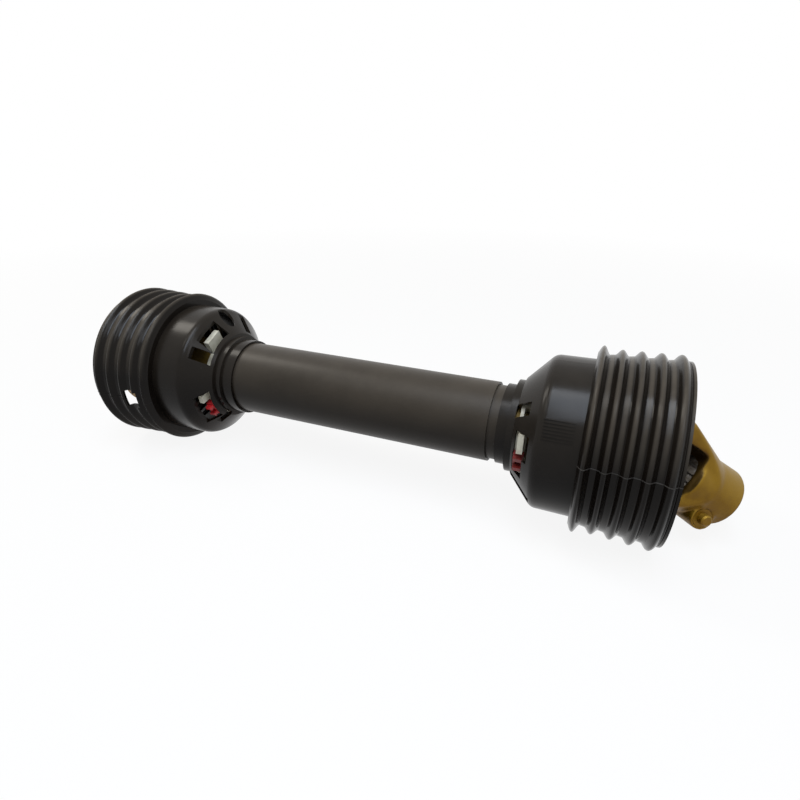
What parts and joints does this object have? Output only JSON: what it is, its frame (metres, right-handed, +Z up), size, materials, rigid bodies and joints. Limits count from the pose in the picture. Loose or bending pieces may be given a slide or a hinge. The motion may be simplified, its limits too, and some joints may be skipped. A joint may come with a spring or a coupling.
{
  "type": "universal joint drive shaft",
  "caption": "Telescoping drive shaft with a cross joint and splined yoke at each end, inside a free-turning plastic guard with ribbed bells.",
  "frame": {"origin": "middle of the shaft on its axis, halfway between the two crosses", "axes": "+X along the shaft towards end b, +Z up, -Y towards the viewer"},
  "size_m": [0.6938, 0.1664, 0.1664],
  "materials": {
    "bell": "satin black, moulded",
    "cone": "satin black, moulded",
    "guard_tube": "smooth black, extruded",
    "nylon": "natural nylon",
    "clip": "red, moulded",
    "yoke_paint": "golden yellow coating on a forging",
    "tube_steel": "drawn steel, oiled",
    "spring_steel": "dark spring steel",
    "cap_steel": "ground steel",
    "cross_steel": "forged and ground steel",
    "zinc": "zinc plated",
    "seal_rubber": "matt black"
  },
  "bodies": {
    "guard_a": {"bell_a": "bell", "cone_a": "cone", "guard_tube_outer": "guard_tube", "bearing_ring_a": "nylon", "lock_clip_a": "clip"},
    "shaft_a": {"inner_yoke_a": "yoke_paint", "profile_tube_outer": "tube_steel", "roll_pin_a": "spring_steel", "inner_caps_a": "cap_steel", "inner_circlips_a": "spring_steel"},
    "spider_a": {"cross_a": "cross_steel", "grease_nipple_a": "zinc", "cross_seals_a": "seal_rubber"},
    "yoke_a": {"end_yoke_a": "yoke_paint", "outer_caps_a": "cap_steel", "outer_circlips_a": "spring_steel", "pin_spring_a": "spring_steel", "pin_cover_a": "yoke_paint"},
    "pin_a": {"push_pin_a": "yoke_paint"},
    "guard_b": {"bell_b": "bell", "cone_b": "cone", "guard_tube_inner": "guard_tube", "bearing_ring_b": "nylon", "lock_clip_b": "clip"},
    "shaft_b": {"inner_yoke_b": "yoke_paint", "profile_tube_inner": "tube_steel", "roll_pin_b": "spring_steel", "inner_caps_b": "cap_steel", "inner_circlips_b": "spring_steel"},
    "spider_b": {"cross_b": "cross_steel", "grease_nipple_b": "zinc", "cross_seals_b": "seal_rubber"},
    "yoke_b": {"end_yoke_b": "yoke_paint", "outer_caps_b": "cap_steel", "outer_circlips_b": "spring_steel", "pin_spring_b": "spring_steel", "pin_cover_b": "yoke_paint"},
    "pin_b": {"push_pin_b": "yoke_paint"}
  },
  "joints": [
    {"name": "shaft_a_spin", "type": "hinge", "parent": "guard_a", "child": "shaft_a", "pos_m": [0, 0, 0], "axis": [1, 0, 0], "continuous": true},
    {"name": "telescope", "type": "slide", "parent": "shaft_a", "child": "shaft_b", "axis": [1, 0, 0], "range_m": [0, 0.16]},
    {"name": "guard_b_spin", "type": "hinge", "parent": "shaft_b", "child": "guard_b", "pos_m": [0, 0, 0], "axis": [1, 0, 0], "continuous": true},
    {"name": "cross_a_turn", "type": "hinge", "parent": "shaft_a", "child": "spider_a", "pos_m": [-0.261, 0, 0], "axis": [0, -0.8878, 0.4602], "range_deg": [-49.3, 0.7]},
    {"name": "yoke_a_turn", "type": "hinge", "parent": "spider_a", "child": "yoke_a", "pos_m": [-0.261, 0, 0], "axis": [-0.4115, 0.4194, 0.8092], "range_deg": [-3.4, 66.6]},
    {"name": "pin_a_push", "type": "slide", "parent": "yoke_a", "child": "pin_a", "axis": [0.4776, 0.8554, -0.2005], "range_m": [0, 0.0075], "stiffness_N_per_m": 1500, "springref_m": -0.006, "deforming": ["pin_spring_a"]},
    {"name": "cross_b_turn", "type": "hinge", "parent": "shaft_b", "child": "spider_b", "pos_m": [0.261, 0, 0], "axis": [0, -0.8878, 0.4602], "range_deg": [-0.7, 49.3]},
    {"name": "yoke_b_turn", "type": "hinge", "parent": "spider_b", "child": "yoke_b", "pos_m": [0.261, 0, 0], "axis": [0.4115, 0.4194, 0.8092], "range_deg": [-66.6, 3.4]},
    {"name": "pin_b_push", "type": "slide", "parent": "yoke_b", "child": "pin_b", "axis": [-0.4776, 0.8554, -0.2005], "range_m": [0, 0.0075], "stiffness_N_per_m": 1500, "springref_m": -0.006, "deforming": ["pin_spring_b"]}
  ]
}
